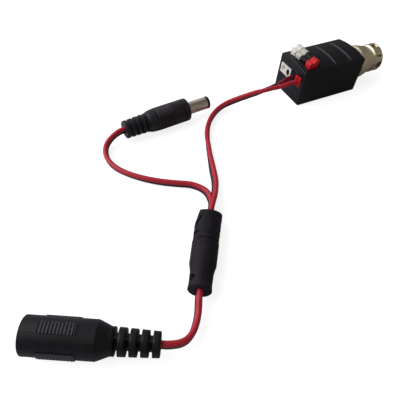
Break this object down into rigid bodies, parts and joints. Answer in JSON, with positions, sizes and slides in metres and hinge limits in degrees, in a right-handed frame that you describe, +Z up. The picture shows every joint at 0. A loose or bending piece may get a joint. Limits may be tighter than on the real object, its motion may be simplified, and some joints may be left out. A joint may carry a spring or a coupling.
{
  "type": "cctv video balun",
  "caption": "Camera-end video balun: small black case with push-lever wire terminals, a bayonet video plug and a split power lead ending in a barrel plug and a barrel socket.",
  "frame": {"origin": "on the resting surface, under the middle of the balun's own box, which leaves out the leads and what is moulded on them", "axes": "+X along the case towards the bayonet plug, +Y towards the white terminal levers, +Z up"},
  "size_m": [0.1906, 0.1025, 0.0213],
  "materials": {
    "black_plastic": "fine moulded texture",
    "board": "solder mask over glass laminate",
    "ferrite": "dull sintered ferrite",
    "copper": "enamelled or bare copper",
    "black_sleeve": "shrunk sleeve",
    "blue_epoxy": "dipped epoxy",
    "white_nylon": "moulded nylon",
    "black_nylon": "moulded nylon",
    "red_nylon": "moulded nylon",
    "brass_plate": "tinned brass",
    "spring_steel": "bright spring steel",
    "nickel": "bright nickel on brass",
    "gold_plate": "gold flash",
    "white_insulator": "acetal",
    "rubber": "soft ring",
    "soft_moulding": "satin flexible vinyl",
    "twin_lead": "red and black vinyl cores side by side",
    "red_insulation": "vinyl",
    "black_insulation": "vinyl"
  },
  "bodies": {
    "balun": {"case_top": "black_plastic", "case_base": "black_plastic", "circuit_board": "board", "transformer_core": "ferrite", "transformer_winding": "copper", "filter_capacitor": "black_sleeve", "surge_suppressor": "blue_epoxy", "white_near_edge_housing": "white_nylon", "white_near_edge_contact": "brass_plate", "white_near_edge_spring": "spring_steel", "white_inner_housing": "white_nylon", "white_inner_contact": "brass_plate", "white_inner_spring": "spring_steel", "black_housing": "black_nylon", "black_contact": "brass_plate", "black_spring": "spring_steel", "red_housing": "red_nylon", "red_contact": "brass_plate", "red_spring": "spring_steel", "bayonet_shell": "nickel", "bayonet_insulator": "white_insulator", "bayonet_centre_pin": "gold_plate", "bayonet_gasket": "rubber", "retaining_ring": "spring_steel", "wave_washer": "spring_steel", "splitter_moulding": "soft_moulding", "plug_moulding": "soft_moulding", "plug_barrel": "nickel", "plug_tip_insulator": "black_plastic", "plug_centre_contact": "brass_plate", "jack_moulding": "soft_moulding", "jack_insert": "black_plastic", "jack_pin": "nickel", "jack_leaf_contact": "spring_steel", "balun_lead": "twin_lead", "plug_lead": "twin_lead", "jack_lead": "twin_lead", "red_wire_end": "red_insulation", "black_wire_end": "black_insulation", "red_strands": "copper", "black_strands": "copper"},
    "white_near_edge_push_lever": {"white_near_edge_lever": "white_nylon"},
    "white_inner_push_lever": {"white_inner_lever": "white_nylon"},
    "black_push_lever": {"black_lever": "black_nylon"},
    "red_push_lever": {"red_lever": "red_nylon"},
    "washer_stack": {"thrust_washer": "spring_steel"},
    "collar": {"coupling_collar": "nickel"}
  },
  "joints": [
    {"name": "white_near_edge_lever_press", "type": "hinge", "parent": "balun", "child": "white_near_edge_push_lever", "pos_m": [-0.02135, 0.00571, 0.0134], "axis": [0, 1, 0], "range_deg": [0, 8], "stiffness_Nm_per_rad": 0.05, "springref_deg": -5.73, "deforming": ["white_near_edge_spring"]},
    {"name": "white_inner_lever_press", "type": "hinge", "parent": "balun", "child": "white_inner_push_lever", "pos_m": [-0.02135, 0.00191, 0.0134], "axis": [0, 1, 0], "range_deg": [0, 8], "stiffness_Nm_per_rad": 0.05, "springref_deg": -5.73, "deforming": ["white_inner_spring"]},
    {"name": "black_lever_press", "type": "hinge", "parent": "balun", "child": "black_push_lever", "pos_m": [-0.02135, -0.00191, 0.0134], "axis": [0, 1, 0], "range_deg": [0, 8], "stiffness_Nm_per_rad": 0.05, "springref_deg": -5.73, "deforming": ["black_spring"]},
    {"name": "red_lever_press", "type": "hinge", "parent": "balun", "child": "red_push_lever", "pos_m": [-0.02135, -0.00571, 0.0134], "axis": [0, 1, 0], "range_deg": [0, 8], "stiffness_Nm_per_rad": 0.05, "springref_deg": -5.73, "deforming": ["red_spring"]},
    {"name": "collar_pull", "type": "slide", "parent": "balun", "child": "washer_stack", "axis": [1, 0, 0], "range_m": [0, 0.0006], "stiffness_N_per_m": 1500, "springref_m": -0.0006},
    {"name": "collar_turn", "type": "hinge", "parent": "washer_stack", "child": "collar", "pos_m": [0.01775, 0, 0.00885], "axis": [1, 0, 0], "continuous": true}
  ]
}
